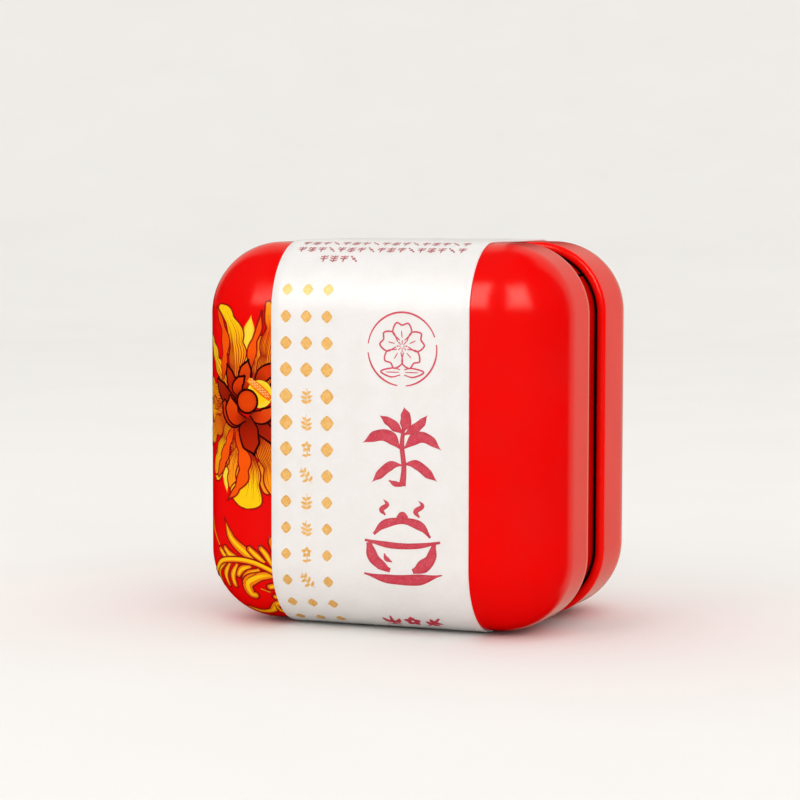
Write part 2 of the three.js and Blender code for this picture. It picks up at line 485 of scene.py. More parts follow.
# %% Pearl card and card core
def pearl_card():
    material, tree, shader = new_material("mica-coated pearl card", **{
        "Metallic": 0.0, "IOR": 1.45, "Sheen Weight": 0.12, "Sheen Roughness": 0.4,
        "Coat Weight": 0.15, "Coat Roughness": 0.35})
    at = object_coords(tree)
    flakes = add(tree, "TexVoronoi", {"Vector": at, "Scale": 1 / (0.28 * MM)}).outputs["Color"]
    grain = add(tree, "SeparateColor", {"Color": flakes}).outputs[0]
    colour = mottle(tree, noise(tree, at, 5 * MM, 4.0, 0.55), 0.35, 0.65, "#efeceb", "#ebe7e5")
    colour = mix_colour(tree, spread(tree, grain, 0, 1, 0.0, 0.35), colour, linear("#e7e3e0"))
    fine = noise(tree, at, 0.3 * MM, 2.0)
    wire(tree, shader, colour, spread(tree, grain, 0, 1, 0.36, 0.5), bump(tree, fine, 0.006 * MM))
    return material


def card_core():
    material, tree, shader = new_material("uncoated card core", IOR=1.45)
    at = object_coords(tree)
    fibres = noise(tree, at, 0.4 * MM, 4.0, 0.6)
    colour = mottle(tree, fibres, 0.35, 0.65, "#fbfaf8", "#f4f2ee")
    wire(tree, shader, colour, spread(tree, fibres, 0.3, 0.7, 0.75, 0.9), bump(tree, fibres, 0.02 * MM))
    return material


pearl = pearl_card()
core_white = card_core()

# %% [markdown]
# ## The belly band
#
# The band is a strip bent round the tin. Its path lies in the YZ plane: up the front, over
# the top, down behind and back under. Distances along it are measured from the middle of
# the front, upwards, so that print can be placed on it with a ruler. Behind the body the
# strip steps out by its own thickness and laps over its other end.

# %% Band path
BAND_LEFT, BAND_RIGHT = band_low[0], band_high[0]
CARD = 0.36 * MM
BAND_OUT = FRONT_Y - band_low[1] - 0.07 * MM    # tin to the card's face, with room left for ink
LAP_STEP = band_high[1] - BACK_Y - BAND_OUT
LAP_HALF = 6.0 * MM
FLAT_Z = HALF - PILLOW
FLAT_Y = HALF_DEPTH - PILLOW


def band_frame(along):
    """Point on the tin and outward direction at a distance along the path, as YZ pairs.

    The path is four straights joined by quarter circles of the pillow radius:
    a distance inside a straight moves the point, one inside a quarter turns the direction.
    """
    quarter = PILLOW * math.pi / 2
    spans = np.array([FLAT_Z, quarter, 2 * FLAT_Y, quarter, 2 * FLAT_Z,
                      quarter, 2 * FLAT_Y, quarter, FLAT_Z])
    turning = np.array([0, 1, 0, 1, 0, 1, 0, 1, 0])
    ends = np.cumsum(spans)
    starts = ends - spans
    s = np.mod(np.asarray(along, float), ends[-1])
    turned = np.clip(s[..., None] - starts, 0, spans) * turning / PILLOW
    angle = math.pi - turned.sum(axis=-1)
    y = np.interp(s, np.r_[0, ends], FLAT_Y * np.array([-1, -1, -1, 1, 1, 1, 1, -1, -1, -1]))
    z = np.interp(s, np.r_[0, ends], FLAT_Z * np.array([0, 1, 1, 1, 1, -1, -1, -1, -1, 0]))
    outward = np.stack([np.cos(angle), np.sin(angle)], axis=-1)
    return np.stack([y, z], axis=-1) + outward * PILLOW, outward


BAND_LENGTH = 4 * FLAT_Z + 4 * FLAT_Y + 2 * math.pi * PILLOW
BACK_S = FLAT_Z + 2 * FLAT_Y + math.pi * PILLOW + FLAT_Z    # middle of the back


def lap_lift(along):
    """How far the outer end stands off: a smooth step just before it reaches the lap."""
    t = np.clip((along - (BACK_S - 9 * MM)) / (2 * MM), 0, 1)
    return LAP_STEP * t * t * (3 - 2 * t)


def on_band(x, along, lift=0.0, lapped=False):
    """3D points on the outside of the band, `lift` above the card."""
    point, outward = band_frame(along)
    stand_off = BAND_OUT + lift + (lap_lift(np.asarray(along)) if lapped else 0.0)
    yz = point + outward * np.asarray(stand_off)[..., None]
    x = np.broadcast_to(x, yz.shape[:-1])
    return np.stack([x, yz[..., 0] + MIDDLE_Y, yz[..., 1] + AXIS_Z], axis=-1)


# %% Make the band
def band_cross_section():
    """Closed (x, lift) outline of the card: printed face, cut edge, inner face, cut edge."""
    bevel, columns = 0.04 * MM, 24
    face_x = np.linspace(BAND_LEFT + bevel, BAND_RIGHT - bevel, columns)
    face = np.stack([face_x, np.zeros(columns)], axis=1)
    right = np.array([(BAND_RIGHT, -bevel), (BAND_RIGHT, bevel - CARD)])
    inner = np.array([(BAND_RIGHT - bevel, -CARD), (BAND_LEFT + bevel, -CARD)])
    left = np.array([(BAND_LEFT, bevel - CARD), (BAND_LEFT, -bevel)])
    return np.vstack([face, right, inner, left]), columns - 1


def make_band():
    section, printed = band_cross_section()
    first = BACK_S - LAP_HALF - BAND_LENGTH
    last = BACK_S + LAP_HALF
    stops = np.linspace(first, last, 420)
    x = section[:, 0][:, None]
    lift = np.broadcast_to(section[:, 1][:, None], (len(section), len(stops)))
    along = np.broadcast_to(stops[None], lift.shape)
    points = on_band(x, along, lift, lapped=True)
    under = stops < first + 20 * MM     # the end that lies under the lap isn't lifted
    points[:, under] = on_band(x, along, lift)[:, under]
    row_of = np.repeat(np.arange(len(section)), len(stops) - 1)
    slots = np.r_[(row_of >= printed).astype(int), [1, 1]]
    return capped_tube("pearl_belly_band", points, [pearl, core_white], slots)


belly_band = make_band()
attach(belly_band, "band")
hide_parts("paper_band")
print("band loop %.1f mm, lap step %.2f mm" % (BAND_LENGTH / MM, LAP_STEP / MM))

# %% [markdown]
# ## Glue
#
# The lap is closed with a wipe of white glue, dried to a dull film with a few bubbles. The
# CAD strip has the right shape already, so it only gets its material.

# %% Glue material
def dry_glue():
    material, tree, shader = new_material("dried white glue", IOR=1.47)
    at = object_coords(tree)
    film = noise(tree, at, 1.2 * MM, 4.0)
    colour = mottle(tree, film, 0.35, 0.65, "#e9e0c8", "#dccfae")
    wire(tree, shader, colour, spread(tree, film, 0.3, 0.7, 0.45, 0.7), bump(tree, film, 0.02 * MM))
    return material


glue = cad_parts["band_glue"]
glue.data.materials.clear()
glue.data.materials.append(dry_glue())

# %% [markdown]
# ## Printing on a curved surface
#
# Ink lies on the sheet before it is drawn to shape, so the print follows the surface and
# stretches over the pillow edge. The artwork is therefore drawn flat, in millimetres, and
# each drawn point is then carried onto the tin. On the lid a drawn point (p, q) is as far
# from the middle of the face, measured along the surface, as it was in the drawing.
#
# One drawn shape is a strip: a smooth spine with a width to its left and to its right. A
# petal, a leaf, a brush stroke and a hairline are all strips. Each becomes a fine grid
# of quads a few thousandths of a millimetre above the one before, with its own ink colour
# at every point.

# %% Drawing tools
INK_STEP = 0.006 * MM    # height of one layer of ink over the next
VEIN_INK = "#a8240a"
VEIN_REACH = 0.86        # share of a petal's length that its veins reach


def on_lid(p, q, lift):
    """Carries drawing points (mm) onto the lid's outside.

    The nearest core point C and the offset u n from it give a flat part up to FLAT, then
    an angle (u - FLAT) / PILLOW round the pillow edge, then the straight skirt.
    """
    flat_point = np.stack([p, q], axis=-1) * MM
    core = np.clip(flat_point, -CORE, CORE)
    offset = flat_point - core
    u = np.linalg.norm(offset, axis=-1)
    n = offset / np.maximum(u, 1e-9)[..., None]
    turn = np.clip((u - FLAT) / PILLOW, 0, math.pi / 2)
    down_skirt = np.maximum(u - FLAT - PILLOW * math.pi / 2, 0)
    out = np.minimum(u, FLAT) + (PILLOW + lift) * np.sin(turn)
    y = FRONT_Y + PILLOW - (PILLOW + lift) * np.cos(turn) + down_skirt
    xz = core + n * out[..., None]
    return np.stack([xz[..., 0], y, xz[..., 1] + AXIS_Z], axis=-1)


def printed_on_band(x, s, lift):
    """Carries drawing points (mm right of the tin's middle, mm up the band) onto the card."""
    return on_band(x * MM, s * MM, lift)


def smooth_path(knots, count):
    """Catmull-Rom curve through the knots, resampled at even distances."""
    knots = np.asarray(knots, float)
    ends = np.vstack([2 * knots[0] - knots[1], knots, 2 * knots[-1] - knots[-2]])
    t = np.linspace(0, len(knots) - 1 - 1e-9, 24 * len(knots))
    i, f = t.astype(int), (t % 1.0)[:, None]
    a, b, c, d = ends[i], ends[i + 1], ends[i + 2], ends[i + 3]
    square, cube = (2 * a - 5 * b + 4 * c - d) * f ** 2, (3 * b - a - 3 * c + d) * f ** 3
    path = 0.5 * (2 * b + (c - a) * f + square + cube)
    run = np.r_[0, np.cumsum(np.linalg.norm(np.diff(path, axis=0), axis=1))]
    even = np.linspace(0, run[-1], count)
    return np.stack([np.interp(even, run, path[:, k]) for k in range(path.shape[1])], axis=1)


def normals_of(path):
    """Unit vectors to the left of the direction of travel."""
    along = np.gradient(path, axis=0)
    along /= np.maximum(np.linalg.norm(along, axis=1), 1e-9)[:, None]
    return np.stack([-along[:, 1], along[:, 0]], axis=1)


def widths_at(values, t):
    """Widths between evenly spaced values, eased so that no corner shows."""
    values = np.atleast_1d(np.asarray(values, float))
    if len(values) == 1:
        return np.full_like(t, values[0])
    place = t * (len(values) - 1)
    i = np.minimum(place.astype(int), len(values) - 2)
    f = place - i
    f = f * f * (3 - 2 * f)
    return values[i] * (1 - f) + values[i + 1] * f


def tint(t, stops):
    """Colour along t from (place, hex) stops, blended in linear light."""
    places = [place for place, _ in stops]
    colours = np.array([linear(code)[:3] for _, code in stops])
    return np.stack([np.interp(t, places, colours[:, k]) for k in range(3)], axis=-1)


class InkSheet:
    """Collects drawn shapes on one surface and turns them into one mesh."""

    def __init__(self, carrier, clear=0.010 * MM):
        self.carrier, self.clear = carrier, clear
        self.points, self.quads, self.inks, self.count = [], [], [], 0

    def lay(self, grid, ink, level):
        """Carries a grid of drawing points onto the surface, at the height of its level."""
        rows, columns = grid.shape[:2]
        lift = np.full((rows, columns), self.clear + level * INK_STEP)
        self.points.append(self.carrier(grid[..., 0], grid[..., 1], lift).reshape(-1, 3))
        self.quads.append(grid_faces(rows, columns) + self.count)
        self.inks.append(np.broadcast_to(ink, (rows, columns, 3)).reshape(-1, 3))
        self.count += rows * columns

    def line(self, path, half_width, ink, level):
        """A hairline along a path, drawn exactly where the path runs."""
        width = widths_at(half_width, np.linspace(0, 1, len(path)))
        side = normals_of(path) * width[:, None]
        self.lay(np.stack([path + side, path - side], axis=1), linear(ink)[:3], level)

    def strip(self, knots, left, right=None, level=0, stops=(), rim=None, rim_from=0.55, lobes=0,
              lobe_depth=0.0, round_tip=False, spacing=0.32, veins=0, edge=0.0, edge_ink="#7d1210"):
        """A petal, leaf or stroke: fill, then veins, then the line round its edge.

        Point: spine(t) + left normal(t) x u x width(t), with t along the spine and u from 1
        on the left edge to -1 on the right. Lobes multiply the width by a row of |sin| arches.
        """
        rough = smooth_path(knots, 40)
        length = np.linalg.norm(np.diff(rough, axis=0), axis=1).sum()
        rows = max(6, int(length / spacing) + 1)
        path = smooth_path(knots, rows)
        t = np.linspace(0, 1, rows)
        left_w = widths_at(left, t)
        right_w = widths_at(left if right is None else right, t)
        if lobes:
            wave = 1 - lobe_depth + lobe_depth * np.abs(np.sin(math.pi * lobes * t))
            left_w, right_w = left_w * wave, right_w * wave
        if round_tip:
            reach = max(left_w[-1], right_w[-1]) / length
            cap = np.sqrt(1 - np.clip((t - 1 + reach) / reach, 0, 1) ** 2)
            left_w, right_w = left_w * cap, right_w * cap
        columns = max(5, int((left_w + right_w).max() / spacing) + 1)
        side = normals_of(path)

        def across(u):
            offset = np.where(u > 0, u * left_w[:, None], u * right_w[:, None])
            return path[:, None] + side[:, None] * offset[..., None]

        u = np.linspace(1, -1, columns)[None]
        grid = across(u)
        fill = np.broadcast_to(tint(t, stops)[:, None], (*grid.shape[:2], 3))
        if rim is not None:
            share = np.clip((np.abs(u) - rim_from) / (1 - rim_from), 0, 1)[..., None]
            near_tip = np.clip((t - 0.9) / 0.1, 0, 1)[:, None, None] * 0.7
            share = np.maximum(np.broadcast_to(share, fill.shape), near_tip)
            fill = fill * (1 - share) + np.array(linear(rim)[:3]) * share
        self.lay(grid, fill, level)
        if veins:
            lines = across(np.linspace(0.82, -0.82, veins)[None])[:int(VEIN_REACH * (rows - 1)) + 1]
            for k in range(veins):
                cut = len(lines) - int(len(lines) * 0.28 * ((k * 7) % 3) / 2)
                self.line(lines[:max(cut, 3), k], (0.1, 0.1, 0.015), VEIN_INK, level + 1)
        if edge:
            border = np.vstack([grid[:, 0], grid[::-1, -1]])
            self.line(border, (edge * 0.6, edge, edge, edge * 0.6), edge_ink, level + 2)

    def disc(self, centre, radius, ink, level, squash=1.0, power=2.0, rim=None, turns=28, edge=0.0):
        """A filled round, or a rounded lozenge when the power is near 1.

        Radius along an angle a: (|cos a|^power + |sin a|^power)^(-1 / power).
        """
        angle = np.linspace(0, 2 * math.pi, turns + 1)
        c, s = np.cos(angle), np.sin(angle)
        reach = (np.abs(c) ** power + np.abs(s) ** power) ** (-1 / power)
        rings = np.linspace(0.02, 1, max(3, int(radius / 0.3) + 2))
        outline = np.stack([c * reach, s * reach * squash], axis=1) * radius
        grid = np.asarray(centre, float) + rings[:, None, None] * outline[None]
        fill = np.broadcast_to(np.array(linear(ink)[:3]), (*grid.shape[:2], 3))
        if rim is not None:
            share = np.clip((rings - 0.6) / 0.4, 0, 1)[:, None, None]
            fill = fill * (1 - share) + np.array(linear(rim)[:3]) * share
        self.lay(grid[:, ::-1], fill, level)
        if edge:
            self.line(grid[-1], (edge,), "#2c0604", level + 2)

    def make(self, name, material):
        """One mesh of everything drawn, with the ink of each point in its own attribute."""
        points, quads = np.vstack(self.points), np.vstack(self.quads)
        piece = make_mesh(name, points, quads, [material])
        paint(piece, "ink", np.vstack(self.inks))
        return piece


print("ink layers step %.3f mm" % (INK_STEP / MM))

# %% [markdown]
# ## Lid artwork
#
# A double peony opens on the left of the lid, with a scroll of acanthus leaves under it.
# It is the flat colour style of old tea tins: yellow running into orange, combed with fine
# lines, each shape inside a dark red keyline. The print is complete under the band too,
# so that it is there when the band is slid off.

# %% Peony
YOLK, SUN, AMBER, ORANGE, EMBER = "#f5d93c", "#fbcb0f", "#f99414", "#f25606", "#d43a02"
DARK_PETAL, MID_PETAL, KEYLINE, DARK_KEYLINE = "#a81a02", "#d23604", "#94120e", "#2c0604"

PETAL_EDGE = 0.17        # half width of the red keyline, mm
YELLOW_TIP = [(0, ORANGE), (0.35, AMBER), (0.75, SUN), (1, SUN)]
SUNNY_TIP = [(0, ORANGE), (0.5, AMBER), (1, SUN)]
SUNNY_BODY = [(0, ORANGE), (0.4, AMBER), (1, SUN)]
AMBER_TIP = [(0, EMBER), (0.5, AMBER), (1, AMBER)]

lid_print = InkSheet(on_lid)


def outer_petal(knots, left, right, level=0, ramp=YELLOW_TIP, veins=9, lobes=4, depth=0.36):
    """A long petal with a scalloped edge and combed veins, coloured by a ramp from root to tip."""
    lid_print.strip(knots, left, right, level, ramp, lobes=lobes, lobe_depth=depth, round_tip=True,
                    veins=veins, edge=PETAL_EDGE, edge_ink=KEYLINE)


def petal_fold(knots, left, right, level, lobes=3):
    """The turned-over edge of an outer petal, in plain orange."""
    lid_print.strip(knots, left, right, level, [(0, EMBER), (0.3, ORANGE), (1, ORANGE)], lobes=lobes,
                    lobe_depth=0.4, edge=PETAL_EDGE, edge_ink=KEYLINE)


def inner_leaf(knots, widths, level):
    """A plain yellow leaf between two petals, amber towards its edge."""
    lid_print.strip(knots, widths, None, level, [(0, SUN), (0.5, YOLK), (1, YOLK)], rim=AMBER, rim_from=0.62)


def dark_petal(knots, widths, level, ink=DARK_PETAL, tip="#c8300a"):
    """A short petal of the heart: deep red at its root, inside a near-black keyline."""
    lid_print.strip(knots, widths, None, level, [(0, "#7c1202"), (0.4, ink), (1, tip)],
                    edge=0.22, edge_ink=DARK_KEYLINE)


def draw_peony():
    """Back to front: far petals, yellow leaves between them, near petals, heart."""
    outer_petal([(-21, 9), (-16, 14), (-11, 19), (-8, 23)], (1.5, 2.8, 3.0, 1.4), (1.5, 3.0, 3.0, 1.2))
    outer_petal([(-20, 6), (-13, 8), (-7, 10), (-2.5, 9)], (1.5, 3.0, 3.2, 1.4), (1.5, 2.8, 3.0, 1.2))
    outer_petal([(-20, 3), (-13, 0), (-8, -4), (-5, -8)], (1.5, 3.0, 3.2, 1.4), (1.5, 2.8, 2.6, 1.2))
    outer_petal([(-30, 9), (-33.5, 13), (-36.2, 17), (-38.5, 19.5)], (1.6, 1.4, 1.2, 0.5),
                (1.0, 2.2, 1.8, 0.6), 0, [(0, AMBER), (0.5, SUN), (1, YOLK)], 5)
    outer_petal([(-29, 6.5), (-33, 7.2), (-37.5, 8.4), (-42, 8.6)], (1.4, 3.0, 3.0, 1.4),
                (1.4, 2.6, 2.6, 1.2), 0, SUNNY_BODY)
    outer_petal([(-29, 4), (-33.2, 1.6), (-37, -0.6), (-41, -2)], (1.4, 2.2, 2.2, 1.0),
                (1.2, 2.2, 2.4, 1.0), 3, SUNNY_TIP)
    outer_petal([(-28, 5), (-32, 4.4), (-36, 4.6), (-40, 5.2)], (1.2, 2.4, 2.6, 1.2), (1.2, 2.4, 2.6, 1.2),
                0, SUNNY_BODY, 13)
    outer_petal([(-26.5, 3), (-30, -1), (-32.5, -5), (-34.6, -9.6)], (1.4, 2.6, 2.8, 1.4),
                (1.4, 2.6, 2.6, 1.2), 0, SUNNY_TIP, 13)
    outer_petal([(-24.5, 2), (-27, -3), (-28.2, -7), (-28.8, -11.2)], (1.6, 2.4, 2.4, 1.2),
                (1.6, 2.4, 2.4, 1.2), 0, [(0, ORANGE), (0.5, AMBER), (1, AMBER)], 11)
    outer_petal([(-21, 2), (-21, -4), (-20.6, -8), (-20.8, -11.6)], (1.6, 2.6, 2.6, 1.2),
                (1.6, 2.6, 2.6, 1.2), 0, AMBER_TIP, 11)
    outer_petal([(-22.6, 9), (-22.4, 13), (-22.4, 16.6), (-22.0, 19.6)], (1.6, 2.0, 1.6, 0.6),
                (1.6, 2.0, 1.6, 0.6), 0, AMBER_TIP, 11)
    outer_petal([(-26.6, 10), (-27.2, 14), (-28.2, 17.4), (-29.4, 20)], (1.6, 2.6, 2.2, 0.8),
                (1.6, 2.0, 1.6, 0.8), 0, AMBER_TIP, 11)
    inner_leaf([(-25.6, 11), (-25.3, 16.5), (-24.6, 20.4), (-24.1, 23.6)], (0.7, 1.3, 2.0, 1.2, 0.0), 3)
    inner_leaf([(-30.6, -2), (-30.9, -6), (-30.7, -9), (-30.3, -11.8)], (0.8, 1.3, 1.5, 0.8, 0.0), 0)
    inner_leaf([(-17, -1), (-14.5, -6), (-13.2, -9), (-12.5, -12.6)], (0.8, 1.6, 1.9, 1.0, 0.0), 0)
    inner_leaf([(-18, 10), (-13.5, 12), (-9, 13.8), (-5, 14.4)], (0.8, 1.5, 1.8, 1.0, 0.0), 0)
    outer_petal([(-28.0, 8.5), (-28.1, 14.5), (-28.9, 19.8), (-30.7, 23.3), (-33.2, 25.2)],
                (1.0, 1.7, 1.2, 0.9, 0.7), (1.0, 2.6, 3.4, 2.6, 1.0), 6, depth=0.28)
    petal_fold([(-31.6, 10.5), (-30.9, 15.2), (-30.6, 18.6), (-32.0, 22.2), (-34.2, 25.0)],
               (0.4, 1.0, 1.4, 1.1, 0.3), (0.6, 1.1, 1.2, 0.7, 0.2), 9)
    outer_petal([(-21.6, 10), (-20.7, 16), (-19.8, 21.5), (-20.6, 26.3)], (1.4, 2.0, 1.7, 0.8),
                (2.4, 3.2, 2.6, 0.8), 6,
                [(0, AMBER), (0.35, AMBER), (0.6, ORANGE), (0.86, AMBER), (1, AMBER)], 11, lobes=3)
    petal_fold([(-24.3, 12.8), (-24.0, 17.0), (-22.7, 20.6), (-21.8, 24.4)], (0.7, 0.9, 0.5, 0.1),
               (0.5, 1.2, 0.9, 0.1), 9, lobes=2)
    outer_petal([(-28.6, 3.0), (-31.0, -1.2), (-33.0, -4.6), (-35.2, -8.4)], (1.2, 1.8, 2.0, 1.1),
                (1.2, 1.6, 2.0, 1.1), 6, [(0, AMBER), (0.4, SUN), (1, AMBER)], 8, lobes=3)
    petal_fold([(-28.4, 1.4), (-30.2, -3.0), (-31.6, -6.0), (-33.6, -8.6)], (0.5, 0.9, 1.2, 0.6),
               (0.6, 1.3, 1.6, 0.5), 9)
    outer_petal([(-22.0, 0.5), (-20.4, -4.5), (-19.0, -8.6), (-17.8, -12.4)], (2.0, 2.4, 2.6, 2.2),
                (1.6, 2.2, 2.6, 2.0), 6, [(0, EMBER), (0.35, AMBER), (0.8, AMBER), (1, AMBER)], 11, lobes=2)
    outer_petal([(-25.3, 1.0), (-24.9, -4.4), (-24.7, -9.4), (-26.0, -14.4)], (1.2, 1.8, 2.8, 5.0),
                (1.4, 2.2, 3.6, 5.4), 9, [(0, ORANGE), (0.45, AMBER), (0.7, SUN), (1, SUN)], 13, lobes=3,
                depth=0.2)
    petal_fold([(-27.4, 0.6), (-26.4, -3.6), (-26.2, -7.4), (-27.6, -10.6), (-30.2, -13.2)],
               (1.1, 2.0, 2.1, 1.2, 0.1), (0.8, 0.9, 1.1, 0.8, 0.1), 12, lobes=4)
    draw_heart()


def draw_heart():
    """The dark inner petals, the round bud petals and the stamens."""
    dark_petal([(-27.0, 7.2), (-28.6, 10.0), (-30.2, 13.9)], (0.7, 1.5, 1.0, 0.0), 15)
    dark_petal([(-23.0, 9.8), (-21.2, 12.2), (-18.4, 13.2), (-16.4, 12.6)], (0.8, 1.4, 1.2, 0.0), 15,
               MID_PETAL)
    dark_petal([(-20.0, 7.6), (-17.4, 8.8), (-15.0, 8.0)], (1.4, 2.4, 1.6, 0.0), 15)
    dark_petal([(-25.8, 8.0), (-25.6, 11.4), (-24.7, 14.9)], (1.0, 1.5, 1.3, 0.0), 18, MID_PETAL, "#dd4a08")
    dark_petal([(-27.6, 5.2), (-30.4, 7.4), (-33.6, 10.6)], (0.9, 1.5, 1.4, 0.4), 18, "#8f1604", "#a02408")
    dark_petal([(-20.4, 3.6), (-18.0, 1.8), (-15.2, 0.6)], (1.2, 2.0, 1.4, 0.0), 15)
    dark_petal([(-24.2, 3.4), (-21.4, 1.2), (-18.4, -1.0), (-16.6, -2.4)], (0.9, 1.5, 1.3, 0.0), 18,
               "#9c1a04")
    dark_petal([(-24.9, 3.4), (-24.6, -0.2), (-23.4, -4.0)], (1.1, 2.1, 1.9, 0.0), 21, "#a01a03", "#b82404")
    dark_petal([(-25.4, 3.2), (-28.6, 2.6), (-31.2, 6.4)], (0.5, 1.1, 1.4, 0.6), 21, "#b82604", "#c83606")
    dark_petal([(-25.2, 3.0), (-28.2, 3.6), (-29.2, 7.6)], (0.4, 1.5, 1.7, 0.2), 24, MID_PETAL, "#e04c0a")
    dark_petal([(-26.9, 7.6), (-27.2, 9.6), (-25.5, 11.6)], (0.6, 1.3, 1.0, 0.1), 24, MID_PETAL, "#dc4408")
    lid_print.disc((-22.3, 8.1), 2.7, SUN, 24, rim=YOLK)
    lid_print.strip([(-24.7, 10.9), (-22.4, 9.2), (-20.0, 7.2)], (0.5, 0.75, 0.75, 0.5), level=27,
                    stops=[(0, AMBER), (1, "#f4660a")], edge=0.05, edge_ink="#e0500a")
    step = np.array([(-24.1, 10.7), (-20.5, 7.7)])
    for k in range(7):
        for row in (-0.34, 0.0, 0.34):
            along = (step[1] - step[0]) * (k + 0.5 * (row == 0.0)) / 6.5
            middle = step[0] + along + np.array([0.64, 0.77]) * row
            lid_print.strip([middle + (-0.16, 0.13), middle + (0.16, -0.13)], (0.03, 0.075, 0.03), level=30,
                            stops=[(0, "#fff0a8")])
    dark_petal([(-24.4, 4.2), (-21.8, 3.6), (-19.6, 5.4)], (0.4, 1.3, 1.4, 0.5), 27, MID_PETAL, "#e2500c")
    lid_print.disc((-25.0, 6.6), 2.25, "#dc4204", 30, 1.02, rim="#c83004", edge=0.22)


draw_peony()
print("peony drawn:", lid_print.count, "points")


# %% Scroll
def scroll_leaf(knots, widths, level, tip=True):
    """An orange leaf inside a keyline, with a yellow streak down its middle."""
    lid_print.strip(knots, widths, None, level, [(0, "#f58c10"), (1, "#f0720a")], round_tip=tip,
                    edge=PETAL_EDGE, edge_ink=KEYLINE)
    knots = np.array(knots, float)
    knots[-1] = 0.75 * knots[-1] + 0.25 * knots[-2]
    lid_print.strip(knots, 0.34 * np.array(widths), None, level + 1, [(0, AMBER), (0.3, SUN), (1, SUN)],
                    round_tip=tip)


def draw_scroll():
    """One main stem with strokes leaving it on both sides, and a leaf below."""
    lid_print.strip([(-37.2, -16.8), (-35.8, -19.6), (-32.6, -22.8)], (0.14, 0.26, 0.2), level=0,
                    stops=[(0, SUN), (1, AMBER)], edge=0.07, edge_ink=KEYLINE)
    scroll_leaf([(-28.0, -24.6), (-31.0, -24.2), (-33.4, -22.6)], (0.4, 0.8, 0.6), 2)
    scroll_leaf([(-27.0, -24.4), (-29.6, -23.8), (-31.6, -22.2)], (0.4, 0.8, 0.6), 4)
    scroll_leaf([(-22.6, -24.8), (-26.0, -22.8), (-29.2, -20.4), (-31.2, -16.6)], (0.6, 1.0, 0.9, 0.05), 6,
                tip=False)
    scroll_leaf([(-21.4, -24.9), (-23.4, -23.4), (-25.2, -21.9)], (0.4, 0.7, 0.6), 8)
    scroll_leaf([(-19.8, -25.4), (-21.0, -23.4), (-22.6, -21.7)], (0.4, 0.7, 0.6), 10)
    scroll_leaf([(-17.6, -26.2), (-18.6, -22.8), (-19.9, -19.6)], (0.5, 1.2, 1.1), 12)
    scroll_leaf([(-15.6, -27.2), (-15.4, -23.8), (-15.8, -20.8)], (0.5, 1.1, 0.9), 12)
    scroll_leaf([(-31.0, -25.6), (-34.4, -28.2), (-35.0, -32.0)], (0.4, 0.7, 0.5), 2)
    scroll_leaf([(-29.6, -25.6), (-31.6, -28.4), (-31.4, -31.6)], (0.4, 0.8, 0.5), 4)
    scroll_leaf([(-27.6, -25.6), (-29.2, -28.2), (-29.2, -31.2)], (0.4, 0.8, 0.75), 6)
    scroll_leaf([(-24.4, -25.8), (-26.6, -26.6), (-28.0, -28.4)], (0.4, 0.8, 0.6), 8)
    scroll_leaf([(-22.6, -26.4), (-25.4, -27.6), (-26.8, -29.6)], (0.4, 0.8, 0.6), 10)
    scroll_leaf([(-19.2, -27.4), (-22.6, -27.8), (-25.6, -29.4), (-25.4, -32.0), (-23.6, -32.4)],
                (0.5, 0.9, 1.3, 1.2, 0.9), 12)
    scroll_leaf([(-16.6, -30.4), (-19.4, -29.8), (-21.6, -30.2)], (0.4, 0.8, 0.7), 14)
    scroll_leaf([(-16.6, -31.2), (-19.0, -32.2), (-20.9, -32.6)], (0.4, 0.8, 0.7), 16)
    lid_print.strip([(-22.9, -30.6), (-21.0, -31.4)], (0.1, 0.16), level=2,
                    stops=[(0, SUN), (1, AMBER)], edge=0.05)
    lid_print.strip([(-39.5, -31), (-35.8, -28.4), (-32.4, -25.6), (-28.2, -24.7), (-24.3, -24.9),
                     (-20.6, -26.2), (-16, -28.6), (-9, -31.6), (-3, -30)],
                    (0.5, 0.62, 0.62, 0.62, 0.7, 0.5, 0.2), level=20, stops=[(0, "#f27a0c"), (1, "#f27a0c")],
                    edge=PETAL_EDGE, edge_ink=KEYLINE)
    lid_print.strip([(-39.3, -30.8), (-35.7, -28.3), (-32.3, -25.5), (-28.2, -24.6), (-24.3, -24.8),
                     (-20.6, -26.1), (-16, -28.5), (-9, -31.5), (-3.3, -30)],
                    (0.2, 0.28, 0.28, 0.28, 0.3, 0.2, 0.1), level=21, stops=[(0, SUN), (1, SUN)])
    scroll_leaf([(-17.6, -33.6), (-20.4, -34.6), (-22.4, -37.2), (-25.4, -37.9), (-28.6, -36.4)],
                (0.5, 0.9, 0.9, 0.9, 0.4), 14)
    scroll_leaf([(-20.8, -34.8), (-20.2, -37.2), (-16.8, -39.0)], (0.3, 0.7, 0.6), 16)
    scroll_leaf([(-8.6, -31.4), (-10.4, -27.4), (-8.2, -24.2)], (0.5, 1.1, 0.8), 12)
    scroll_leaf([(-6.4, -30.6), (-5.4, -27.0), (-2.6, -25.2)], (0.5, 1.0, 0.7), 12)
    scroll_leaf([(-9.6, -31.8), (-8.4, -35.0), (-5.0, -36.0)], (0.5, 1.1, 0.8), 12)


draw_scroll()
print("scroll drawn:", lid_print.count, "points")

# %% [markdown]
# ## Band artwork
#
# Two prints lie on the card. Warm gold foil is stamped as a pattern of lozenges with a
# column of small tea sprigs in the middle. Crimson ink carries a round emblem, two brush
# drawings, a tea sprig and a lidded cup, and rows of tiny marks. All of it is pictures.
# There is no lettering.

# %% Foil
foil_print = InkSheet(printed_on_band, clear=0.004 * MM)
GOLD = "#f4b556"
COLUMN_LEFT, COLUMN_MID, COLUMN_RIGHT = -16.6, -12.3, -8.0
ROW_PITCH, FIRST_ROW, ROWS = 5.13, 28.5, 14


